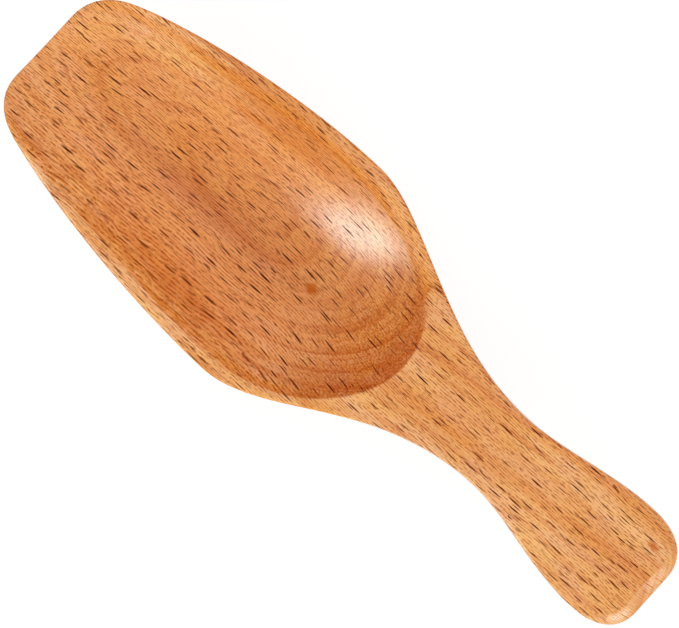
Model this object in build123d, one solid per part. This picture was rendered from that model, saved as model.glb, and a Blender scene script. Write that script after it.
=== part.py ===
from build123d import *

import os

# A one-piece beech scoop: an open-fronted bowl with a flat lip, milled into a
# board, and a short paddle handle that shares the bowl's flat top face.
# The frame: +X runs to the mouth, +Z is up, and the origin lies under the
# middle of the scoop, on the surface it stands on. Millimetres.

# Lengths along the scoop, one stretch after the other from the mouth
bowl_length = 106.2
back_to_neck = 28.0
neck_to_grip = 34.0
grip_to_end = 11.8

# Half widths, measured from the middle line
bowl_half_width = 26.7
rim_width = 2.7
lip_half_width = 8.6
neck_half_width = 9.45
grip_half_width = 14.0
end_half_width = 5.0

# Heights and thicknesses
bowl_depth = 16.2
floor_thickness = 5.0
lip_thickness = 3.4
handle_thickness = 12.5
upright_side_height = 4.25
base_flat_cut = 1.2

# Roundings, and the overrun that carries every cut past the wood
top_edge_radius = 1.0
under_edge_radius = 2.0
rim_edge_radius = 0.6
overrun = 4.0

# Sizes that follow
length = bowl_length + back_to_neck + neck_to_grip + grip_to_end
height = bowl_depth + floor_thickness
body_half_width = bowl_half_width + rim_width
neck_place = bowl_length + back_to_neck
grip_place = neck_place + neck_to_grip

# The widest place of the body and the end of the mouth's corner, as shares of
# the bowl, and the reach of each outline curve's handles as shares of its span
widest_share = 0.687
corner_length_share = 0.096
corner_width_share = 0.685
corner_slope_share = 0.33
corner_rise_share = 0.65
corner_leave_share = 0.39
side_leave_share = 0.25
side_arrive_share = 0.34
shoulder_leave_share = 0.27
shoulder_arrive_share = 0.46
flare_leave_share = 0.315
flare_arrive_share = 0.37
end_leave_share = 0.56
end_arrive_share = 0.71

# The hollow: its depth down the middle as shares of the bowl's depth, and how
# fast its floor curves up to the sides, both from the mouth to past the back
hollow_depth_shares = [0.362, 0.771, 0.825, 0.986, 1.448, 0.720, -0.296]
hollow_curve_shares = [1.06, 1.05, 1.32, 1.09, 0.92, 0.78, 0.98]
hollow_start_share = -0.038
hollow_end_share = 1.055
mouth_depth_share = 0.441

# The keel, the underside's lowest line: where it levels out under the bowl,
# where it starts to rise to the neck, and the reach of its curve handles
keel_level_share = 0.58
keel_rise_share = 0.87
keel_slope_share = 0.27
keel_leave_share = 0.30
keel_arrive_share = 0.36
keel_back_leave_share = 0.36
keel_back_arrive_share = 0.40

# A face is upright, or an edge level, below these sines of its slope
UPRIGHT = 0.01
LEVEL = 0.9


def at(from_mouth, across=0, z=0):
    """A point given by its distance from the mouth, to one side and up."""
    return Vector(length / 2 - from_mouth, across, z)


def outline_side(side):
    """The outline's edges on one side (1 or -1), from the lip to the handle's end."""
    widest = widest_share * bowl_length
    corner = corner_length_share * bowl_length
    corner_half = corner_width_share * body_half_width
    corner_rise = corner_half - lip_half_width
    shoulder = neck_place - widest
    leave = corner_leave_share * corner
    side_leave = side_leave_share * (widest - corner)
    side_arrive = side_arrive_share * (widest - corner)
    end_rise = grip_half_width - end_half_width

    def p(from_mouth, half_width):
        return at(from_mouth, side * half_width, height)

    return [
        Line(p(0, 0), p(0, lip_half_width)),
        Bezier(
            p(0, lip_half_width),
            p(0, lip_half_width + corner_rise_share * corner_rise),
            p(corner - leave, corner_half - leave * corner_slope_share),
            p(corner, corner_half),
        ),
        Bezier(
            p(corner, corner_half),
            p(corner + side_leave, corner_half + side_leave * corner_slope_share),
            p(widest - side_arrive, body_half_width),
            p(widest, body_half_width),
        ),
        Bezier(
            p(widest, body_half_width),
            p(widest + shoulder_leave_share * shoulder, body_half_width),
            p(neck_place - shoulder_arrive_share * shoulder, neck_half_width),
            p(neck_place, neck_half_width),
        ),
        Bezier(
            p(neck_place, neck_half_width),
            p(neck_place + flare_leave_share * neck_to_grip, neck_half_width),
            p(grip_place - flare_arrive_share * neck_to_grip, grip_half_width),
            p(grip_place, grip_half_width),
        ),
        Bezier(
            p(grip_place, grip_half_width),
            p(grip_place + end_leave_share * grip_to_end, grip_half_width),
            p(length, end_half_width + end_arrive_share * end_rise),
            p(length, end_half_width),
        ),
        Line(p(length, end_half_width), p(length, 0)),
    ]


def blank():
    """The board sawn to the outline, with upright sides all round."""
    outline = Wire(outline_side(1) + outline_side(-1))
    return extrude(Face(outline), amount=height, dir=(0, 0, -1))


def hollow_cutter():
    """Everything above the bowl's floor.

    The floor is one smooth surface. Down the middle it follows the depth
    shares, and across the bowl it is a parabola that reaches the top face at
    the rim, so the rim's outline is where this surface meets the flat top.
    """
    reach = body_half_width + overrun
    start = hollow_start_share * bowl_length
    stretch = (hollow_end_share - hollow_start_share) * bowl_length
    steps = len(hollow_depth_shares) - 1
    rows = []
    for i, depth_share in enumerate(hollow_depth_shares):
        place = start + stretch * i / steps
        floor = height - depth_share * bowl_depth
        rise = hollow_curve_shares[i] * bowl_depth * (reach / bowl_half_width) ** 2
        rows.append(
            [
                at(place, -reach, floor + rise),
                at(place, 0, floor - rise),
                at(place, reach, floor + rise),
            ]
        )
    floor_face = Face.make_bezier_surface(rows)
    return extrude(floor_face, amount=bowl_depth + overrun, dir=(0, 0, 1))


def keel_cutter(keel):
    """Everything below one stretch of the underside.

    The keel is given by the places and depths of its curve's control points.
    The underside is a parabola across the scoop that is carried along the
    keel, and it meets the upright sides at their lower edge.
    """
    reach = body_half_width + overrun
    full_rise = height + base_flat_cut - upright_side_height
    rise = full_rise * (reach / body_half_width) ** 2
    rows = [
        [
            at(place, -reach, height - depth + rise),
            at(place, 0, height - depth - rise),
            at(place, reach, height - depth + rise),
        ]
        for place, depth in keel
    ]
    under_face = Face.make_bezier_surface(rows)
    return extrude(under_face, amount=2 * height, dir=(0, 0, -1))


def keel_stretches():
    """The keel from the lip's underside to the handle's end, stretch by stretch."""
    deepest = height + base_flat_cut
    level = keel_level_share * bowl_length
    rise = keel_rise_share * bowl_length
    climb = neck_place - rise
    run = keel_leave_share * level
    lip_depth = mouth_depth_share * bowl_depth + lip_thickness
    return [
        [
            (-overrun, lip_depth - keel_slope_share * overrun),
            (run, lip_depth + keel_slope_share * run),
            (level - keel_arrive_share * level, deepest),
            (level, deepest),
        ],
        [(level, deepest), (rise, deepest)],
        [
            (rise, deepest),
            (rise + keel_back_leave_share * climb, deepest),
            (neck_place - keel_back_arrive_share * climb, handle_thickness),
            (neck_place, handle_thickness),
        ],
        [(neck_place, handle_thickness), (length + overrun, handle_thickness)],
    ]


def lower_edges(body):
    """Where the upright sides turn under, all round the scoop."""
    found = []
    for face in body.faces().filter_by(lambda f: abs(f.normal_at().Z) < UPRIGHT):
        for edge in face.edges().filter_by(lambda e: abs(e.tangent_at(0.5).Z) < LEVEL):
            if edge.position_at(0.5).Z < height - top_edge_radius:
                found.append(edge)
    return found


def scoop():
    """The blank, shaped underneath, eased along its edges and hollowed out."""
    body = blank()
    for keel in keel_stretches():
        body -= keel_cutter(keel)
    body = body.solid()
    body = body.fillet(under_edge_radius, lower_edges(body))
    top_face = body.faces().sort_by(Axis.Z)[-1]
    body = body.fillet(top_edge_radius, top_face.outer_wire().edges())
    body = (body - hollow_cutter()).solid()
    floor_face = body.faces().sort_by(lambda f: f.area * f.normal_at().Z)[-1]
    return body.fillet(rim_edge_radius, floor_face.edges())


os.makedirs("parts", exist_ok=True)
scoop_body = scoop()
export_step(scoop_body, "parts/scoop_body.step")
print("length", round(length, 2), "width", round(2 * body_half_width, 2), "height", round(height, 2))
print("volume", round(scoop_body.volume), "valid", scoop_body.is_valid)
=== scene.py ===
# %% [markdown]
# # A beech scoop, milled from one board
# The real object is a single piece of beech: an open-fronted bowl, a flat rim, and a
# short paddle handle that shares the rim's flat top face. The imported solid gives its
# place and its overall size. This script makes the surface that shows, with its eased
# edges, and the wood itself. All shapes are worked out in millimetres, in the frame of
# the solid: +X runs to the mouth, +Z is up, and the origin lies under the middle.

import bpy
import numpy as np
from mathutils import Matrix, Vector


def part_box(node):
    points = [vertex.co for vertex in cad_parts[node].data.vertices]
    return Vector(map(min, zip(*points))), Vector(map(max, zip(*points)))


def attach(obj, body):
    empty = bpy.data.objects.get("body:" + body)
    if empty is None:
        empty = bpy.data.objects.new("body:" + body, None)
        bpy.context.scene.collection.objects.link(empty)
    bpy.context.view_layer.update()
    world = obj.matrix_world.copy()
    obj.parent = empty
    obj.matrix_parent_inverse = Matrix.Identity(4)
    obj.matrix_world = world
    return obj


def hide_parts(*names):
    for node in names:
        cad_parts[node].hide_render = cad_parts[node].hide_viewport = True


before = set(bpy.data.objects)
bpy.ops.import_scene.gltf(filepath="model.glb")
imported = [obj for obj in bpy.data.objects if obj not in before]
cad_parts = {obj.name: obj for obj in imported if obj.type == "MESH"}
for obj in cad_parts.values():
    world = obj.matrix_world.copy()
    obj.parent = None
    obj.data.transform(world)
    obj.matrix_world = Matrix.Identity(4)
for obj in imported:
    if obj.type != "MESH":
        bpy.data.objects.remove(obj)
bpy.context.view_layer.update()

MM = 0.001
low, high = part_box("scoop_body")
length = (high.x - low.x) / MM
height = (high.z - low.z) / MM
body_half_width = (high.y - low.y) / MM / 2
print("the solid is", round(length, 1), "by", round(2 * body_half_width, 1), "by", round(height, 1), "mm")

# %% [markdown]
# ## Curves
# A milled outline is made of long fair curves. It could be traced by hand with many
# points, but then every small error would show as a dent in the side. So each stretch is
# one Bezier curve, a blend of a few control points whose weights are the Bernstein
# shares. The same function serves for the outline, for the keel line under the bowl and
# for the depth of the hollow along it.


# %% A Bezier curve as one array
def bezier(controls, t):
    """The blend of the controls at each t: control i of n weighs (n over i) t^i (1-t)^(n-i)."""
    controls = np.asarray(controls, float)
    points = np.broadcast_to(controls[:, None], (len(controls), len(t)) + controls.shape[1:])
    t = t.reshape((-1,) + (1,) * (controls.ndim - 1))
    while len(points) > 1:
        points = points[:-1] * (1 - t) + points[1:] * t
    return points[0]


def joined(stretches, samples):
    """Curves that meet end to end, as one row of points, with each meeting point once."""
    t = np.linspace(0, 1, samples)
    return np.concatenate([bezier(stretches[0], t)] + [bezier(c, t)[1:] for c in stretches[1:]])


halfway = bezier([0, 0, 10, 10], np.array([0.5]))[0]
print("halfway along a curve with the controls 0, 0, 10 and 10 lies", halfway)


# %% [markdown]
# ## The outline
# Seen from above, half the outline runs from the middle of the lip, round the mouth's
# corner, along the bowl's side, in to the neck, out to the grip and round the handle's
# end. Each point is a distance from the mouth and a half width, both in millimetres.
# Only half of it is drawn, because a mirror image is always as fair as its original.

# %% Named places and half widths
corner_place = 10.2
widest_place = 72.96
neck_place = 134.2
grip_place = 168.2
lip_half_width = 8.6
corner_half_width = 20.14
neck_half_width = 9.45
grip_half_width = 14.0
end_half_width = 5.0

# The inner control points, which say how far each curve keeps the direction of its ends
lip_pull_width = 16.1
corner_pull = (6.22, 18.83)
side_pull = (25.9, 25.3)
widest_front_pull = 51.6
widest_back_pull = 89.5
neck_front_pull = 106.0
neck_back_pull = 144.9
grip_front_pull = 155.6
grip_back_pull = 174.8
end_pull_width = 11.39
print("the bowl is widest", widest_place, "mm from the mouth")


# %% The half outline
def half_outline():
    """The stretches from the lip's middle to the middle of the handle's end."""
    lip_end = (0, lip_half_width)
    corner_end = (corner_place, corner_half_width)
    widest = (widest_place, body_half_width)
    neck = (neck_place, neck_half_width)
    grip = (grip_place, grip_half_width)
    end = (length, end_half_width)
    return [
        [(0, 0), lip_end],
        [lip_end, (0, lip_pull_width), corner_pull, corner_end],
        [corner_end, side_pull, (widest_front_pull, body_half_width), widest],
        [widest, (widest_back_pull, body_half_width), (neck_front_pull, neck_half_width), neck],
        [neck, (neck_back_pull, neck_half_width), (grip_front_pull, grip_half_width), grip],
        [grip, (grip_back_pull, grip_half_width), (length, end_pull_width), end],
        [end, (length, 0)],
    ]


CURVE_SAMPLES = 801
outline = joined(half_outline(), CURVE_SAMPLES)
steps = np.hypot(*np.diff(outline, axis=0).T)
outline_run = np.concatenate([[0], np.cumsum(steps)])
end_run = outline_run[-1]
print("half the outline is", round(end_run, 1), "mm long")

# %% [markdown]
# ## The hollow and the flat top
# The hollow could be cut out of a block with a boolean, but that leaves a ragged strip
# of faces along the rim, which is just where the light catches. Here the top of the
# scoop is a height map instead. The hollow's depth follows one fair curve down its
# middle, and across the bowl it is a parabola. Where that depth reaches zero lies the
# rim, and a soft maximum rounds the crease there, as sandpaper does. The rim of the -Y
# flank is the rounder one on the real scoop.

# %% How deep the hollow is
bowl_length = 106.2
bowl_half_width = 26.7
bowl_depth = 16.2
hollow_depth_shares = [0.362, 0.771, 0.825, 0.986, 1.448, 0.720, -0.296]
hollow_curve_shares = [1.06, 1.05, 1.32, 1.09, 0.92, 0.78, 0.98]
hollow_start_share = -0.038
hollow_end_share = 1.055


def hollow_depth(place, across):
    """The depth below the top face: the middle's depth minus a parabola across the bowl."""
    start = hollow_start_share * bowl_length
    run = (hollow_end_share - hollow_start_share) * bowl_length
    t = np.clip((place.ravel() - start) / run, 0, 1)
    middle = bezier(hollow_depth_shares, t).reshape(place.shape)
    curve = bezier(hollow_curve_shares, t).reshape(place.shape)
    return bowl_depth * (middle - curve * (across / bowl_half_width) ** 2)


widest_middle = np.array([[widest_place]])
widest_depth = float(hollow_depth(widest_middle, widest_middle * 0)[0, 0])
print("the bowl is", round(widest_depth, 1), "mm deep at its widest")

# %% The top face, with its rim softened
rim_softness_places = [-16.0, -6.0]
rim_softness = [1.6, 0.3]


def soft_max(a, b, softness):
    """The larger of a and b. Within a softness of their crossing it is b plus softness times
    n squared, where n goes from 0 to 1 as a - b goes from -softness to softness."""
    near = np.clip((a - b) / (2 * softness) + 0.5, 0, 1)
    return b + np.where(a - b > softness, a - b, softness * near**2)


def top_height(place, across):
    """The flat top face, lowered by the hollow wherever the hollow is deeper than zero."""
    softness = np.interp(across, rim_softness_places, rim_softness)
    return height - soft_max(hollow_depth(place, across), 0.0, softness)


print("the rim's crease is rounded over", rim_softness[1], "to", rim_softness[0], "mm")

# %% [markdown]
# ## The underside
# Under the bowl the wood is round from side to side, like a boat, and it is cut flat
# where the scoop stands. A parabola carried along a keel line gives that form with one
# curve and one number, and the flat comes from the same soft maximum as the rim.

# %% The keel line and the height of the underside
lip_thickness = 3.4
handle_thickness = 12.5
upright_side_height = 4.25
base_flat_cut = 1.2
base_softness = 0.08
lip_hollow_depth = 7.14
lip_keel_run = 18.5
lip_keel_fall = 5.0
keel_level_pull = 39.4
keel_level_place = 61.6
keel_rise_place = 92.4
keel_rise_pull = 107.4
keel_neck_pull = 117.5


def keel_line():
    """The underside's lowest line, as places from the mouth and depths below the top."""
    lip_depth = lip_hollow_depth + lip_thickness
    lip_pull = (lip_keel_run, lip_depth + lip_keel_fall)
    level = (keel_level_place, deepest)
    rise = (keel_rise_place, deepest)
    neck = (neck_place, handle_thickness)
    return [
        [(0, lip_depth), lip_pull, (keel_level_pull, deepest), level],
        [level, rise],
        [rise, (keel_rise_pull, deepest), (keel_neck_pull, handle_thickness), neck],
        [neck, (length, handle_thickness)],
    ]


deepest = height + base_flat_cut
keel_rise = (deepest - upright_side_height) / body_half_width**2
keel = joined(keel_line(), CURVE_SAMPLES)


def under_height(place, across):
    """A parabola across the scoop carried along the keel, cut flat where the scoop stands."""
    round_under = height - np.interp(place, keel[:, 0], keel[:, 1]) + keel_rise * across**2
    return soft_max(round_under, 0.0, base_softness)


print("the keel is cut off flat for", base_flat_cut, "mm of its depth")

# %% [markdown]
# ## One closed skin
# The top and the bottom are grids of rows across the scoop and columns along it, laid
# between the four sides of the outline, which are the lip, the two flanks and the
# handle's end. A grid that is stretched between four curves is called a Coons patch. It
# could be left to a subdivision surface, but then its density would be the same
# everywhere. Here the rows and columns are close together where the form turns sharply,
# such as at the rim, and wide apart elsewhere.


# %% Where the rows and columns go
def graded(places, spacings):
    """Values from the first place to the last, as far apart as the spacings wanted there:
    their count up to a value is the running total of one over the spacing."""
    fine = np.linspace(places[0], places[-1], GRADING_STEPS)
    density = 1 / np.interp(fine, places, spacings)
    running = np.concatenate([[0], np.cumsum((density[1:] + density[:-1]) / 2 * np.diff(fine))])
    count = int(round(running[-1])) + 1
    return np.interp(np.linspace(0, running[-1], count), running, fine)


GRADING_STEPS = 6001
front_corner = 2.6
back_corner = 176.6
row_places = graded(
    [front_corner, 8, 20, 70, 84, 92, 107, 109, 115, 165, back_corner],
    [0.45, 0.6, 0.9, 0.9, 0.5, 0.24, 0.20, 0.4, 0.9, 0.9, 0.5],
)
half_columns = graded(
    [0, 0.80, 0.86, 0.885, 0.935, 0.96, 1],
    [0.024, 0.02, 0.009, 0.005, 0.005, 0.012, 0.012],
)
column_shares = np.concatenate([-half_columns[:0:-1], half_columns])
ROWS = len(row_places)
COLUMNS = len(column_shares)
print(ROWS, "rows and", COLUMNS, "columns")

# %% [markdown]
# ### Points round the outline
# Both grids and the rings between them follow one row of points round the outline, so
# they meet point for point and no seam can open. On the flanks the points are spread by
# the rows' places, and on the lip and the handle's end by the columns' shares of the
# width there.


# %% Where each point lies along the outline
def run_at(coordinate, value, first, last):
    """How far along the half outline its place (0) or its half width (1) has the given value."""
    part = slice(np.searchsorted(outline_run, first), np.searchsorted(outline_run, last) + 1)
    values = outline[part, coordinate]
    order = np.argsort(values)
    return np.interp(value, values[order], outline_run[part][order])


CORNER_REACH = 40
END_MARGIN = 1
corner_run = run_at(0, front_corner, 0, CORNER_REACH)
turn_run = run_at(0, back_corner, end_run - CORNER_REACH, end_run)
flank_runs = run_at(0, row_places, END_MARGIN, end_run - END_MARGIN)
corner_half = np.interp(corner_run, outline_run, outline[:, 1])
turn_half = np.interp(turn_run, outline_run, outline[:, 1])
front_runs = run_at(1, np.abs(column_shares) * corner_half, 0, corner_run)
back_runs = run_at(1, np.abs(column_shares) * turn_half, turn_run, end_run)
rim_runs = np.concatenate([front_runs, flank_runs[1:], back_runs[-2::-1], flank_runs[-2:0:-1]])

column_sides = np.sign(column_shares)
right_sides = np.ones(len(flank_runs) - 1)
left_sides = -np.ones(len(flank_runs) - 2)
rim_sides = np.concatenate([column_sides, right_sides, column_sides[-2::-1], left_sides])
print(len(rim_runs), "points round the outline")

# %% The points and their outward directions
headings = np.gradient(outline, outline_run, axis=0)
headings /= np.hypot(*headings.T)[:, None]


def along(runs, sides):
    """Points of the whole outline and their outward directions, by run and side (1 or -1).

    The outward direction is the outline's own, turned a quarter, and mirrored on side -1.
    """
    point = np.stack([np.interp(runs, outline_run, outline[:, k]) for k in (0, 1)], -1)
    tangent = np.stack([np.interp(runs, outline_run, headings[:, k]) for k in (0, 1)], -1)
    outward = np.stack([-tangent[:, 1], tangent[:, 0]], -1)
    mirror = np.stack([np.ones(len(sides)), sides], -1)
    return point * mirror, outward * mirror


edge, outward = along(rim_runs, rim_sides)
print("the outline is", round(float(np.ptp(edge[:, 1])), 1), "mm wide")

# %% [markdown]
# ### Eased edges
# The rounding of the edge isn't the same all round: fingers and sanding have softened
# the handle's end most. A Bevel modifier has one width for a whole edge, so the width
# and the drop are read here from short tables, by the distance along the outline.

# %% How far each edge is rounded
edge_runs = [0, corner_run, corner_run + 6, corner_run + 18, flank_runs[-1] - 16, flank_runs[-1], end_run]
top_width = np.interp(rim_runs, edge_runs, [0.5, 0.8, 0.9, 0.9, 1.0, 2.6, 3.1])
top_drop = np.interp(rim_runs, edge_runs, [0.5, 0.8, 0.9, 0.9, 1.0, 1.8, 2.1])
top_flatness = np.interp(rim_runs, edge_runs, [1.0, 1.0, 1.0, 1.0, 1.0, 1.6, 1.85])
under_width = np.interp(rim_runs, edge_runs, [1.2, 1.6, 2.0, 2.0, 2.0, 2.0, 2.0])
print("the top edge is rounded by", top_width.min(), "to", round(float(top_width.max()), 1), "mm")


# %% The grids of the top and the bottom
def patch(border):
    """A grid stretched between four curves: each pair of sides blended, less the corners' blend."""
    front = border[:COLUMNS]
    right = border[COLUMNS - 1 : COLUMNS + ROWS - 1]
    back = border[COLUMNS + ROWS - 2 : 2 * COLUMNS + ROWS - 2][::-1]
    left = np.concatenate([border, border[:1]])[2 * COLUMNS + ROWS - 3 :][::-1]
    u = ((row_places - front_corner) / (back_corner - front_corner))[:, None, None]
    v = ((column_shares + 1) / 2)[None, :, None]
    across_blend = (1 - v) * left[:, None] + v * right[:, None]
    along_blend = (1 - u) * front[None] + u * back[None]
    corners = (1 - u) * ((1 - v) * front[0] + v * front[-1]) + u * ((1 - v) * back[0] + v * back[-1])
    return across_blend + along_blend - corners


top_plan = patch(edge - outward * top_width[:, None])
under_plan = patch(edge - outward * under_width[:, None])
print("each grid has", ROWS * COLUMNS, "points")

# %% [markdown]
# ### The hand in it
# The real scoop was shaped and sanded by hand, and it isn't quite symmetrical. Its
# middle line sways by up to three quarters of a millimetre, and the lip isn't quite
# square to it. Both are added to the finished plan, so that every curve above stays
# simple. The sways are smoothed by a running mean, which keeps the outline fair.

# %% The slight bend of the real one
sway_places = [0, 10, 30, 60, 85, 108, 128, 142, 158, 172, 180]
sways = [0.3, -0.05, -0.2, -0.05, 0.5, -0.5, -0.55, -0.4, 0.25, 0.45, 0.75]
sway_window = np.linspace(-8, 8, 9)
lip_tilt = 0.023
lip_tilt_pivot = 9.0
lip_tilt_reach = 14.0


def as_made(place, across):
    """The plan moved sideways by the sway's running mean, and turned a little at the lip."""
    near = np.clip(place[..., None] + sway_window, 0, length)
    sway = np.interp(near, sway_places, sways).mean(-1)
    fade = np.clip(1 - place / lip_tilt_reach, 0, 1) ** 2
    return place + lip_tilt * (lip_tilt_pivot - across) * fade, across + sway


def skin_points(plan, heights):
    """Places from the mouth, across and up, as points in the frame of the solid."""
    place, across = as_made(plan[..., 0], plan[..., 1])
    return np.stack([length / 2 - place, across, heights], -1).reshape(-1, 3)


print("the middle line sways from", min(sways), "to", max(sways), "mm")

# %% [markdown]
# ### The sides
# Between the two grids, rings of points follow the outline over the eased top edge, down
# the upright side and round the lower edge. Each ring is the outline moved inwards and
# up or down by a rounding's section, so the side is one more grid, which closes on itself.

# %% The rings between the grids
ROUND_STEPS = 8
WALL_STEPS = 3
angles = np.linspace(0, np.pi / 2, ROUND_STEPS + 1)[1:, None]


def ring_points(width, drop, flatness, angle, height_of, sign):
    """A rounding in section: in by width(1-sin^f angle), off the face by drop(1-cos^f angle).

    A flatness f of 1 gives a quarter ellipse, and a larger one gives a flatter bevel. The
    sign is -1 for an edge that falls away from the top and 1 for one that rises from below.
    """
    plan = edge - outward * (width * (1 - np.sin(angle) ** flatness))[..., None]
    fall = drop * (1 - np.clip(np.cos(angle), 0, 1) ** flatness)
    heights = height_of(plan[..., 0], plan[..., 1]) + sign * fall
    return skin_points(plan, heights).reshape(len(angle), len(edge), 3)


top_rings = ring_points(top_width, top_drop, top_flatness, angles, top_height, -1)
under_rings = ring_points(under_width, under_width, 1.0, angles[::-1], under_height, 1)
wall_shares = (np.arange(1, WALL_STEPS) / WALL_STEPS)[:, None, None]
wall_rings = top_rings[-1] * (1 - wall_shares) + under_rings[0] * wall_shares
rings = np.concatenate([top_rings, wall_rings, under_rings])
print(len(rings), "rings between the top and the bottom")

# %% [markdown]
# ### From points to a mesh
# Blender can be given points one at a time, but for tens of thousands of them whole
# arrays are far quicker. A face is four point numbers, and all the faces of a grid are
# its grid of numbers taken four times, shifted by a row and by a column. The order of
# the four says which side of a face is its outside.


# %% Faces from grids of point numbers
def grid_faces(index):
    """Four-cornered faces of a grid: a point, the next column's, the one across, the next row's."""
    corners = (index[:-1, :-1], index[:-1, 1:], index[1:, 1:], index[1:, :-1])
    return np.stack([c.ravel() for c in corners], -1)


def border_numbers(index):
    """The point numbers round a grid: front, right, back and left."""
    return np.concatenate([index[0], index[1:, -1], index[-1, -2::-1], index[-2:0:-1, 0]])


top_points = skin_points(top_plan, top_height(top_plan[..., 0], top_plan[..., 1]))
under_points = skin_points(under_plan, under_height(under_plan[..., 0], under_plan[..., 1]))
points = np.concatenate([top_points, rings.reshape(-1, 3), under_points]) * MM

top_index = np.arange(ROWS * COLUMNS).reshape(ROWS, COLUMNS)
ring_index = top_index.size + np.arange(rings.shape[0] * rings.shape[1]).reshape(rings.shape[:2])
under_index = top_index.size + ring_index.size + top_index
belt = np.concatenate([border_numbers(top_index)[None], ring_index, border_numbers(under_index)[None]])
belt = np.concatenate([belt, belt[:, :1]], axis=1)

# Row numbers grow to -X and column numbers to +Y, so the top's faces look up. The belt's
# and the bottom's are turned over, and then all of them look outwards.
faces = np.concatenate([grid_faces(top_index), grid_faces(belt)[:, ::-1], grid_faces(under_index)[:, ::-1]])

# The volume inside a closed skin is a sixth of the sum of a . (b x c) over its triangles,
# and it is positive only where the faces look outwards
a, b, c, d = (points[faces[:, k]] for k in range(4))
volume = (np.einsum("ij,ij->i", a, np.cross(b, c)) + np.einsum("ij,ij->i", a, np.cross(c, d))).sum() / 6
print(len(faces) * 2, "triangles, volume", round(volume / MM**3), "cubic mm")


# %% The mesh and its object
def make_mesh(name, points, faces):
    """A mesh from arrays of points in metres and of four-cornered faces, shaded smooth."""
    mesh = bpy.data.meshes.new(name)
    mesh.vertices.add(len(points))
    mesh.vertices.foreach_set("co", points.astype(np.float32).ravel())
    mesh.loops.add(faces.size)
    mesh.loops.foreach_set("vertex_index", faces.astype(np.int32).ravel())
    mesh.polygons.add(len(faces))
    mesh.polygons.foreach_set("loop_start", np.arange(0, faces.size, 4, dtype=np.int32))
    mesh.polygons.foreach_set("use_smooth", np.ones(len(faces), bool))
    mesh.update(calc_edges=True)
    mesh.validate()
    return mesh


scoop = bpy.data.objects.new("beech_scoop", make_mesh("beech_scoop", points, faces))
bpy.context.scene.collection.objects.link(scoop)
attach(scoop, "root")
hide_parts("scoop_body")
print(scoop.name, "has", len(scoop.data.vertices), "points")

# %% [markdown]
# ## The wood
# Beech is told by three things: growth rings, which cross a hollow like the lines of a
# map, thousands of short brown dashes, which are rays cut across, and a fine silky
# fibre. A picture of wood laid over the shape would stretch on the curves and show the
# same lines on the top as on the end. All three patterns fill the wood in depth, so the
# finish is a solid texture: each is a function of the place inside the board, and the
# scoop's shape cuts through it as a tool would. Every node is one line, with the help of
# a few functions.


# %% A shader node in one line
def add(tree, kind, inputs=(), **settings):
    """One shader node with its settings, its inputs filled with values or with other outputs."""
    node = tree.nodes.new("ShaderNode" + kind)
    for name, value in settings.items():
        setattr(node, name, value)
    for key, value in dict(inputs).items():
        if isinstance(value, bpy.types.NodeSocket):
            tree.links.new(value, node.inputs[key])
        else:
            node.inputs[key].default_value = value
    return node


def calc(tree, operation, *values):
    """One step of arithmetic on numbers."""
    return add(tree, "Math", enumerate(values), operation=operation).outputs[0]


def vector_calc(tree, operation, *values):
    """One step of arithmetic on vectors."""
    node = add(tree, "VectorMath", enumerate(values), operation=operation)
    return node.outputs["Value" if operation in ("LENGTH", "DOT_PRODUCT") else "Vector"]


beech = bpy.data.materials.new("beech")
beech.use_nodes = True
wood = beech.node_tree
print("the wood starts with", len(wood.nodes), "nodes")


# %% Products, maxima and mixtures
def times(tree, first, *others):
    """The product of two or more numbers."""
    for other in others:
        first = calc(tree, "MULTIPLY", first, other)
    return first


def largest(tree, first, *others):
    """The largest of two or more numbers."""
    for other in others:
        first = calc(tree, "MAXIMUM", first, other)
    return first


def between(tree, factor, first, second):
    """Two numbers mixed: the first at a factor of 0, the second at 1."""
    return add(tree, "Mix", {0: factor, 2: first, 3: second}, data_type="FLOAT").outputs[0]


def blend(tree, factor, first, second, kind="MIX"):
    """Two colours mixed: the first at a factor of 0, the second at 1."""
    inputs = {0: factor, 6: first, 7: second}
    return add(tree, "Mix", inputs, data_type="RGBA", blend_type=kind).outputs[2]


# %% Smooth steps, noise and colours
def ease(tree, value, start, end, low=0.0, high=1.0):
    """A smooth step, 3t^2 - 2t^3, from low to high while the value goes from start to end."""
    inputs = {"Value": value, "From Min": start, "From Max": end, "To Min": low, "To Max": high}
    return add(tree, "MapRange", inputs, interpolation_type="SMOOTHSTEP").outputs["Result"]


def noise(tree, vector, scale, detail=2.0, roughness=0.5):
    """Smooth noise from 0 to 1. The scale gives its waves in a millimetre, in each direction."""
    stretched = vector_calc(tree, "MULTIPLY", vector, scale)
    inputs = {"Vector": stretched, "Scale": 1.0, "Detail": detail, "Roughness": roughness}
    return add(tree, "TexNoise", inputs).outputs["Fac"]


def wander(tree, vector, scale, size):
    """A smooth offset from -size/2 to size/2 that changes slowly through the wood."""
    return times(tree, calc(tree, "SUBTRACT", noise(tree, vector, scale), 0.5), size)


def xyz(tree, vector):
    """The three numbers of a vector."""
    return add(tree, "SeparateXYZ", {0: vector}).outputs


def colour(red, green, blue):
    """A colour written as it shows on a screen, from 0 to 255, as linear light."""
    shown = np.array([red, green, blue]) / 255
    return (*np.where(shown < 0.04045, shown / 12.92, ((shown + 0.055) / 1.055) ** 2.4), 1.0)


# %% [markdown]
# ### The board's own directions
# In this board the fibre runs along the handle and the rings lie nearly level, tilted by
# 16 degrees. So the Object coordinates are turned by that tilt and counted in
# millimetres: x along the fibre, y along the rings and z outwards through them. A slow
# wandering is added, because no tree grows straight.

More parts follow.
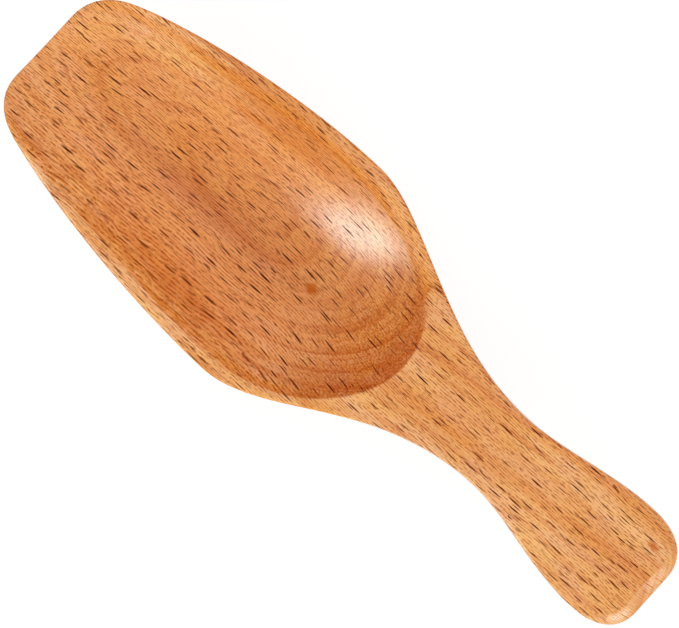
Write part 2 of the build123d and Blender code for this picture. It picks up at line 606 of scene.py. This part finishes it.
# %% Coordinates that follow the grain
ring_tilt = np.radians(16.0)
fibre_tilt = np.radians(1.2)
place_in_board = add(wood, "TexCoord").outputs["Object"]
board_inputs = {
    "Vector": place_in_board,
    "Rotation": (ring_tilt, fibre_tilt, 0),
    "Scale": (1 / MM, 1 / MM, 1 / MM),
}
board = add(wood, "Mapping", board_inputs).outputs["Vector"]
in_mm = add(wood, "VectorMath", {0: place_in_board, "Scale": 1 / MM}, operation="SCALE")
place_in_mm = in_mm.outputs["Vector"]

sideways_wander = wander(wood, board, scale=(0.05, 0.09, 0.09), size=1.6)
outward_wander = wander(wood, board, scale=(0.03, 0.06, 0.06), size=1.8)
shifts = add(wood, "CombineXYZ", {"Y": sideways_wander, "Z": outward_wander}).outputs[0]
grain = vector_calc(wood, "ADD", board, shifts)
quiver = wander(wood, board, scale=(0.22, 0.5, 0.5), size=0.4)
fine_grain = vector_calc(wood, "ADD", grain, add(wood, "CombineXYZ", {"Y": quiver}).outputs[0])

facing = add(wood, "TexCoord").outputs["Normal"]
facing_along, facing_side = xyz(wood, facing)[:2]
place_along = xyz(wood, place_in_mm)[0]
height_place = xyz(wood, place_in_mm)[2]
print("the grain's coordinates take", len(wood.nodes), "nodes")

# %% [markdown]
# ### Fine fibre
# Close up, the wood is drawn in thin dark lines about half a millimetre apart, which
# start and stop. Plain stretched noise gives blurred smears of all widths. Real fibre is
# more even, so the lines here are the crests of a sine wave of the place across the
# fibre. Two pitches take turns, and noise moves the crests and breaks them up. On the
# upright sides the place is counted outwards, because there y hardly changes.

# %% Fibre lines
thin_pitch = 0.49
thick_pitch = 0.56
crest_start = -0.2
crest_full = 0.9
grain_side, grain_out = xyz(wood, fine_grain)[1:]
on_side = ease(wood, calc(wood, "ABSOLUTE", facing_side), 0.80, 0.95)
layer_place = between(wood, on_side, grain_side, grain_out)


def layers(tree, place, pitch, wandering):
    """Dark lines, 0 to 1: the crests of the sine of 2 pi (place / pitch + wandering)."""
    turns_over = calc(tree, "ADD", calc(tree, "DIVIDE", place, pitch), wandering)
    wave = calc(tree, "SINE", times(tree, turns_over, 2 * float(np.pi)))
    return ease(tree, wave, crest_start, crest_full)


thin_wander = wander(wood, board, scale=(0.04, 0.5, 0.45), size=1.6)
thick_wander = wander(wood, board, scale=(0.03, 0.4, 0.4), size=1.6)
thin_layers = layers(wood, layer_place, thin_pitch, thin_wander)
thick_layers = layers(wood, layer_place, thick_pitch, thick_wander)
layer_choice = ease(wood, noise(wood, grain, scale=(0.3, 1.1, 0.8), detail=1.0), 0.45, 0.55)
broken = noise(wood, grain, scale=(0.95, 2.2, 1.5), detail=1.0)
layer_strength = ease(wood, broken, 0.38, 0.60, low=0.18)
fibre = times(wood, between(wood, layer_choice, thin_layers, thick_layers), layer_strength)
print("fibre lines are", thin_pitch, "and", thick_pitch, "mm apart")

# %% [markdown]
# ### Growth rings
# A year's ring starts pale and ends in a darker line. Its profile is a sawtooth of the
# place outwards: the fraction of a turn says how far the year has come, and the whole
# turns number the years, so a random number for each makes some darker than others.
# Finer lines between the years, here and there, are made the same way.

# %% Rings, and the finer lines between them
ring_pitch = 3.41
ring_offset = 19.0
fine_ring_pitch = 1.05
ring_place = xyz(wood, grain)[2]
turns = calc(wood, "DIVIDE", calc(wood, "SUBTRACT", ring_place, ring_offset), ring_pitch)
in_ring = calc(wood, "FRACT", turns)
ring_number = calc(wood, "FLOOR", turns)
ring_chance = add(wood, "TexWhiteNoise", {"W": ring_number}, noise_dimensions="1D").outputs["Value"]
ring_strength = ease(wood, ring_chance, 0.0, 1.0, low=0.6)
late_wood = ease(wood, in_ring, 0.55, 1.0)
early_edge = ease(wood, in_ring, 0.10, 0.0)
ring_line = times(wood, largest(wood, late_wood, early_edge), ring_strength)

in_fine_ring = calc(wood, "FRACT", calc(wood, "DIVIDE", ring_place, fine_ring_pitch))
fine_line = times(wood, ease(wood, in_fine_ring, 0.45, 0.95), ease(wood, in_fine_ring, 1.0, 0.95))
fine_strength = ease(wood, noise(wood, grain, scale=(0.03, 0.10, 0.5)), 0.40, 0.60, low=0.15)
fine_line = times(wood, fine_line, fine_strength)
print("rings are", ring_pitch, "mm apart, with finer lines every", fine_ring_pitch, "mm")

# %% [markdown]
# ### Ray flecks
# The short brown dashes are what beech is known by. Each is a ray, a thin lens of dark
# cells that stands across the rings, cut through by the surface. A Voronoi texture puts
# one point at random in each cell of the wood, and a spindle is drawn round it, so the
# dashes have about the right number, never overlap much, and don't line up. The same
# function, smaller and paler, gives the vessels.

# %% Spindles in the wood
core_edge = 0.78
halo_edge = 1.6
fleck_sizes = (0.55, 1.1)
fleck_depths = (0.75, 1.0)


def ray_flecks(tree, vector, cell, half_size, share):
    """Spindles, one to a cell: (x/a)^2 + sqrt((y/b)^2 + (z/c)^2), over the fleck's size, is the reach.

    The core is full up to the core edge and gone at 1. The halo is gone at the halo edge.
    """
    scaled = vector_calc(tree, "DIVIDE", vector, cell)
    cells = add(tree, "TexVoronoi", {"Vector": scaled, "Scale": 1.0, "Randomness": 1.0})
    offset = vector_calc(tree, "SUBTRACT", scaled, cells.outputs["Position"])
    stretched = vector_calc(tree, "MULTIPLY", offset, [c / h for c, h in zip(cell, half_size)])
    lengthwise = calc(tree, "POWER", calc(tree, "ABSOLUTE", xyz(tree, stretched)[0]), 2.0)
    crosswise = vector_calc(tree, "LENGTH", vector_calc(tree, "MULTIPLY", stretched, (0, 1, 1)))
    chances = add(tree, "SeparateColor", {0: cells.outputs["Color"]}).outputs
    size_chance, share_chance, depth_chance = chances
    size = ease(tree, size_chance, 0.0, 1.0, *fleck_sizes)
    reach = calc(tree, "DIVIDE", calc(tree, "ADD", lengthwise, crosswise), size)
    there = calc(tree, "LESS_THAN", share_chance, share)
    depth = times(tree, ease(tree, depth_chance, 0.0, 1.0, *fleck_depths), there)
    core = ease(tree, reach, 1.0, core_edge)
    halo = ease(tree, reach, halo_edge, core_edge)
    return times(tree, core, depth), times(tree, halo, depth)


# Cells, half sizes and the share of the cells that have one, in millimetres along, across and out
large_rays = ((6.7, 1.95, 10.0), (2.1, 0.16, 11.0), 0.95)
small_rays = ((3.2, 1.0, 4.0), (1.1, 0.10, 3.2), 0.4)
vessel_rays = ((3.2, 0.70, 1.6), (1.5, 0.13, 1.8), 0.9)
large_flecks, large_halo = ray_flecks(wood, grain, *large_rays)
small_flecks, small_halo = ray_flecks(wood, grain, *small_rays)
vessels = ray_flecks(wood, fine_grain, *vessel_rays)[0]
print("a large fleck is about", 2 * large_rays[1][0], "mm long and", 2 * large_rays[1][1], "mm wide")

# %% [markdown]
# ### Pin knots and streaks
# Two pin knots, one or two millimetres across, and three long darker streaks tell this
# scoop from the next one. They are single things, so they are placed one by one, as soft balls
# and long ellipsoids. Noise multiplies the distance from their middles, and that makes
# their edges ragged.

# %% Two pin knots
knot_stretch = (0.55, 1.0, 1.0)
ragged = calc(wood, "ADD", noise(wood, place_in_mm, scale=(0.5, 0.9, 0.9)), 0.5)


def spot(tree, centre, radius):
    """A soft ball: its ragged distance is full up to 0.3 of the radius and gone at 1.2 of it."""
    apart = vector_calc(tree, "SUBTRACT", place_in_mm, centre)
    away = vector_calc(tree, "LENGTH", vector_calc(tree, "MULTIPLY", apart, knot_stretch))
    return ease(tree, times(tree, away, ragged), 1.2 * radius, 0.3 * radius)


floor_knot = spot(wood, centre=(10.4, 0.6, 7.3), radius=1.25)
handle_knot = spot(wood, centre=(-83.2, -7.4, 21.2), radius=0.95)
knot = largest(wood, floor_knot, handle_knot)
print("one knot in the bowl's floor and one at the handle's end")

# %% Three streaks
streak_edge = calc(wood, "ADD", noise(wood, grain, scale=(0.06, 0.5, 0.5), detail=3.0), 0.5)


def streak(tree, centre, half_size):
    """A long soft ellipsoid: the length of (place - centre) / half size, times the edge's noise."""
    apart = vector_calc(tree, "DIVIDE", vector_calc(tree, "SUBTRACT", place_in_mm, centre), half_size)
    return ease(tree, times(tree, vector_calc(tree, "LENGTH", apart), streak_edge), 1.1, 0.2)


middle_streak = streak(wood, centre=(42.0, 2.0, 6.5), half_size=(42.0, 4.6, 7.0))
far_streak = streak(wood, centre=(40.0, -23.0, 17.0), half_size=(38.0, 6.0, 9.0))
near_streak = streak(wood, centre=(34.0, 20.5, 14.0), half_size=(34.0, 3.2, 5.0))
streaks = largest(wood, middle_streak, far_streak, near_streak)
print("streaks down the middle and along both flanks")

# %% [markdown]
# ### Where the fibre is cut across
# The bowl's back wall looks along the scoop, so there the tool cut across the fibre. End
# grain drinks more oil and is darker, it shows the rings as bands, and it is grainy
# instead of lined. How far the surface faces along the scoop says how much of this there
# is, and the place along it keeps the darkening to the bowl's back.

# %% The back wall and other end grain
# The normal's X part is the sine of the slope along the scoop: 10 degrees, then 38
end_grain = ease(wood, facing_along, 0.18, 0.62)

# The bowl's back reaches from X = -22 to X = 12, in millimetres
hollow_back = times(wood, ease(wood, place_along, 12.0, 0.0), ease(wood, place_along, -22.0, -16.0))
back_grain = times(wood, end_grain, hollow_back)

# The rings there, and a painted shade that deepens up the back wall to the rim, both in blotches
painted_rim_shade = times(wood, back_grain, ease(wood, height_place, 13.5, 19.5))
blotch_noise = noise(wood, place_in_mm, scale=(0.30, 0.22, 0.35), detail=4.0, roughness=0.6)
blotches = ease(wood, blotch_noise, 0.38, 0.62, low=0.55)
back_rings_and_rim_shade = largest(wood, times(wood, ring_line, back_grain), times(wood, painted_rim_shade, 0.6))
back_rings_and_rim_shade = times(wood, back_rings_and_rim_shade, blotches)
granules = ease(wood, noise(wood, place_in_mm, scale=(1.9, 2.2, 1.9), detail=1.0), 0.38, 0.62)
print("the wood has", len(wood.nodes), "nodes so far")

# %% [markdown]
# ### Ray figure on the upright sides
# Where the surface runs along the rays, they show as patches with a thin outline, the
# figure of quarter-sawn beech. Rays run outwards through the rings, so the figure
# appears only where the surface faces well away from that direction. A dot product of
# the two directions measures that: it is 1 where they agree and 0 where they are square.

# %% Ray figure
figure_start = 0.68
figure_full = 0.52
out_through_rings = (0.0, float(np.sin(ring_tilt)), float(np.cos(ring_tilt)))
ray_slant = calc(wood, "ABSOLUTE", vector_calc(wood, "DOT_PRODUCT", facing, out_through_rings))
radial_cut = ease(wood, ray_slant, figure_start, figure_full)
flake_noise = noise(wood, grain, scale=(0.25, 0.55, 0.4), detail=3.0, roughness=0.6)
flakes = ease(wood, flake_noise, 0.50, 0.60)
flake_edge = calc(wood, "ABSOLUTE", calc(wood, "SUBTRACT", flake_noise, 0.5))
flake_outline = ease(wood, flake_edge, 0.04, 0.0)
radial_figure = times(wood, largest(wood, flakes, flake_outline), radial_cut)
figure_angle = float(np.degrees(np.arccos(figure_start)))
print("the figure starts where the surface faces", round(figure_angle), "degrees away from the rays")

# %% [markdown]
# ### The colours together
# Each pattern so far is only a mask from 0 to 1. The colours are laid over one another in
# order, from the palest wood to the darkest line, as a painter would glaze them. A table
# keeps that order in sight: a mask, how strongly it covers, and its colour.

# %% Broad tones
light_wood = colour(252, 184, 111)
pink_wood = colour(248, 181, 132)
ring_wood = colour(232, 138, 48)
# The colour of the painted shade deep in the hollow
hollow_shade_wood = colour(243, 145, 54)
back_wood = colour(202, 92, 0)
# The colour of the back's rings and of the painted shade under the rim
back_line_and_shade_brown = colour(188, 78, 0)
streak_wood = colour(214, 108, 16)
flake_wood = colour(206, 104, 20)

blush = ease(wood, noise(wood, grain, scale=(0.10, 0.22, 0.2)), 0.4, 0.65)
clouds = ease(wood, noise(wood, grain, scale=(0.02, 0.09, 0.10)), 0.40, 0.65)
broad_noise = noise(wood, grain, scale=(0.02, 0.42, 0.30), detail=3.0, roughness=0.6)
broad_fibre = ease(wood, broad_noise, 0.40, 0.65)
# Painted shade: the wood darkens and reddens the deeper it lies in the hollow
hollow_painted_shade = ease(wood, height_place, 20.5, 8.0)

# Each tone: where it lies, how strongly it covers, and its colour
tones = [
    (blush, 0.7, pink_wood),
    (ring_line, 0.7, ring_wood),
    (clouds, 0.35, ring_wood),
    (broad_fibre, 0.35, ring_wood),
    # Painted shade in the hollow, stronger further down
    (hollow_painted_shade, 0.5, hollow_shade_wood),
    (fine_line, 0.5, streak_wood),
    (streaks, 0.5, streak_wood),
    (back_grain, 0.42, back_wood),
    # The back's rings, and the painted shade under its rim
    (back_rings_and_rim_shade, 0.95, back_line_and_shade_brown),
    (radial_figure, 0.5, flake_wood),
]
tone = light_wood
for mask, strength, tint in tones:
    tone = blend(wood, times(wood, mask, strength), tone, tint)
print(len(tones), "tones are laid over the light wood")

# %% Fibre lines, granules and knots
no_shade = (1.0, 1.0, 1.0, 1.0)
layer_shade = (0.54, 0.30, 0.04, 1.0)
vessel_depth = 0.22
granule_share = 0.6
knot_brown = colour(190, 80, 0)
knot_depth = 0.75

dark_lines = largest(wood, fibre, times(wood, vessels, vessel_depth))
dark_lines = between(wood, times(wood, end_grain, granule_share), dark_lines, granules)
fewer_at_end = ease(wood, facing_along, -0.5, -0.25, low=0.5)
shade = blend(wood, times(wood, dark_lines, fewer_at_end), no_shade, layer_shade)
tone = blend(wood, 1.0, tone, shade, "MULTIPLY")
tone = blend(wood, times(wood, knot, knot_depth), tone, knot_brown)
print("a fibre line lets through", layer_shade[:3], "of the light")

# %% Flecks, with their halos
fleck_brown = colour(66, 0, 0)
halo_brown = colour(186, 76, 0)
small_share = 0.6
halo_depth = 0.5
end_fade = 0.85

handle_end = ease(wood, facing_along, -0.25, -0.5)
off_handle_end = calc(wood, "MULTIPLY_ADD", handle_end, -end_fade, 1.0)
off_sides = ease(wood, calc(wood, "ABSOLUTE", facing_side), 0.5, 0.9, low=1.0, high=0.45)
off_lip_front = ease(wood, facing_along, 0.6, 0.9, low=1.0, high=0.35)
fleck_share = times(wood, off_handle_end, off_sides, off_lip_front)
flecks = largest(wood, large_flecks, times(wood, small_flecks, small_share))
halos = largest(wood, large_halo, times(wood, small_halo, small_share))
tone = blend(wood, times(wood, halos, halo_depth, fleck_share), tone, halo_brown)
tone = blend(wood, times(wood, flecks, fleck_share), tone, fleck_brown)
print("the wood has", len(wood.nodes), "nodes so far")

# %% [markdown]
# ### The satin finish
# The scoop is oiled and rubbed to a satin gloss. The wood itself scatters light and
# hardly shines, so the gloss comes from the shader's coat. Open pores, flecks, knots, end
# grain and the worn edge of the rim soak the oil up and stay dull, and the coat's weight
# says so. A shallow bump follows the fibre, so that it glints in the highlight.

# %% Coat, roughness and bump
finish = {"Roughness": 0.6, "Specular IOR Level": 0.1, "Coat Roughness": 0.30, "Coat IOR": 1.65}
dull_coat = 0.05
bump_depth = 0.0002
bump_strength = 0.2

# Fingers wear the rim's inner edge, just under the top face at 21.2 mm
at_rim_height = times(wood, ease(wood, height_place, 21.19, 20.9), ease(wood, height_place, 18.2, 19.8))
worn_rim = times(wood, at_rim_height, ease(wood, place_along, -22.0, -16.0))
bare = largest(
    wood,
    flecks,
    times(wood, fibre, 0.35),
    knot,
    times(wood, worn_rim, 0.8),
    times(wood, back_grain, 0.8),
)
coat_weight = ease(wood, bare, 0.0, 0.8, low=1.0, high=dull_coat)
relief = calc(wood, "SUBTRACT", 1.0, times(wood, fibre, 0.5))
bump = add(wood, "Bump", {"Strength": bump_strength, "Distance": bump_depth, "Height": relief})

shader = wood.nodes["Principled BSDF"]
for socket, value in finish.items():
    shader.inputs[socket].default_value = value
wood.links.new(tone, shader.inputs["Base Color"])
wood.links.new(coat_weight, shader.inputs["Coat Weight"])
wood.links.new(bump.outputs[0], shader.inputs["Normal"])
scoop.data.materials.append(beech)
print("the finished wood has", len(wood.nodes), "nodes")

# %% [markdown]
# ## The studio
# The photograph looks straight down on the scoop, which lies on a white table with its
# handle to the lower right. The table has to be white in the picture and still take the
# scoop's shadow, and more light would only bleach the wood. So the rays that the eye and
# the reflections follow see mostly a plain white glow there, and all other rays see a
# pale surface. The table is clear from below and lies a tenth of a millimetre under the
# scoop, so the underside can be looked at too.

# %% The table's mesh
table_half = 1.2
table_drop = 0.0001
table_corners = np.array([(-1, -1, 0), (1, -1, 0), (1, 1, 0), (-1, 1, 0)]) * table_half
table_mesh = make_mesh("table", table_corners - (0, 0, table_drop), np.array([[0, 1, 2, 3]]))
table = bpy.data.objects.new("table", table_mesh)
bpy.context.scene.collection.objects.link(table)
print("the table is", 2 * table_half, "m across")


# %% The table's material
def mixed(tree, factor, first, second):
    """Two shaders mixed: the first at a factor of 0, the second at 1."""
    return add(tree, "MixShader", {0: factor, 1: first, 2: second}).outputs[0]


table_white = (0.9, 0.9, 0.9, 1)
table_roughness = 0.8
glow_colour = (1, 1, 1, 1)
glow_strength = 1.09
glow_share = 0.8

white = bpy.data.materials.new("white_table")
white.use_nodes = True
paper = white.node_tree
surface = paper.nodes["Principled BSDF"]
surface.inputs["Base Color"].default_value = table_white
surface.inputs["Roughness"].default_value = table_roughness
glow = add(paper, "Emission", {"Color": glow_colour, "Strength": glow_strength}).outputs[0]
rays = add(paper, "LightPath").outputs
seen_rays = calc(paper, "ADD", rays["Is Camera Ray"], rays["Is Glossy Ray"])
seen_rays = calc(paper, "ADD", seen_rays, rays["Is Transmission Ray"])
top_side = mixed(paper, times(paper, seen_rays, glow_share), surface.outputs[0], glow)
from_below = add(paper, "NewGeometry").outputs["Backfacing"]
both_sides = mixed(paper, from_below, top_side, add(paper, "BsdfTransparent").outputs[0])
paper.links.new(both_sides, paper.nodes["Material Output"].inputs["Surface"])
table.data.materials.append(white)
print("the table's material has", len(paper.nodes), "nodes")

# %% [markdown]
# ### The camera
# A long lens from far away draws the flat top face without perspective, as the
# photograph does. Three measures place it: the picture's scale, the direction in which
# the scoop lies, and the point of the scoop's frame in the middle of the picture.

# %% A camera straight above
IMAGE_WIDTH = 679
pixels_per_mm = 4.563
photo_turn = (0.7437, 0.6685)
picture_centre = Vector((2.08, 0.66, 0)) * MM
lens = 500.0
sensor_width = 36.0

camera_data = bpy.data.cameras.new("camera")
camera_data.lens = lens
camera_data.sensor_width = sensor_width
picture_width = IMAGE_WIDTH / pixels_per_mm * MM
camera_height = lens / sensor_width * picture_width + height * MM
right = Vector((-photo_turn[0], -photo_turn[1], 0))
up = Vector((photo_turn[1], -photo_turn[0], 0))
back = Vector((0, 0, 1))
camera_axes = Matrix((right, up, back)).transposed().to_4x4()
camera = bpy.data.objects.new("camera", camera_data)
camera.matrix_world = Matrix.Translation(picture_centre + back * camera_height) @ camera_axes
bpy.context.scene.collection.objects.link(camera)
bpy.context.scene.camera = camera
print("the camera is", round(camera_height, 3), "m up")

# %% [markdown]
# ### The light
# Three soft lamps and an even, dim white surrounding light the scoop at a plain level,
# so that the wood's colours show about as they are written. The key lamp stands where its
# mirror image falls on the back of the bowl, and it makes the one clear highlight there.
# The end light does the same for the bevel of the handle's end. Both are slightly cool,
# which keeps their highlights white on orange wood. The large fill lamp is hidden from
# reflections, because it would lay a veil over the whole bowl.


# %% The lamps
def softbox(name, direction, size, power, tint=(1.0, 1.0, 1.0)):
    """A rectangular lamp in a direction from the scoop, at the lamps' distance, which faces it."""
    lamp = bpy.data.lights.new(name, "AREA")
    lamp.shape = "RECTANGLE"
    lamp.size, lamp.size_y = size
    lamp.energy = power
    lamp.color = tint
    holder = bpy.data.objects.new(name, lamp)
    aim = Vector(direction).normalized()
    holder.location = aim * LAMP_DISTANCE
    holder.rotation_euler = aim.to_track_quat("Z", "Y").to_euler()
    bpy.context.scene.collection.objects.link(holder)
    return holder


LAMP_DISTANCE = 1.0
softbox("key", (0.33, 0.86, 0.37), size=(0.32, 0.44), power=5.4, tint=(0.70, 0.94, 1.0))
fill = softbox("fill", (0.30, -0.60, 0.72), size=(1.6, 1.5), power=7.0)
fill.visible_glossy = False
softbox("end_light", (-0.86, 0.345, 0.375), size=(0.62, 0.26), power=4.3, tint=(0.80, 0.95, 1.0))
print(len(bpy.data.lights), "lamps, each", LAMP_DISTANCE, "m away")

# %% The surroundings
world_colour = (1, 1, 1, 1)
world_level = 0.45

world = bpy.data.worlds.new("studio")
bpy.context.scene.world = world
world.use_nodes = True
background = world.node_tree.nodes["Background"]
background.inputs["Color"].default_value = world_colour
background.inputs["Strength"].default_value = world_level
bpy.context.scene.view_settings.view_transform = "Standard"
print("the surroundings have a strength of", world_level)
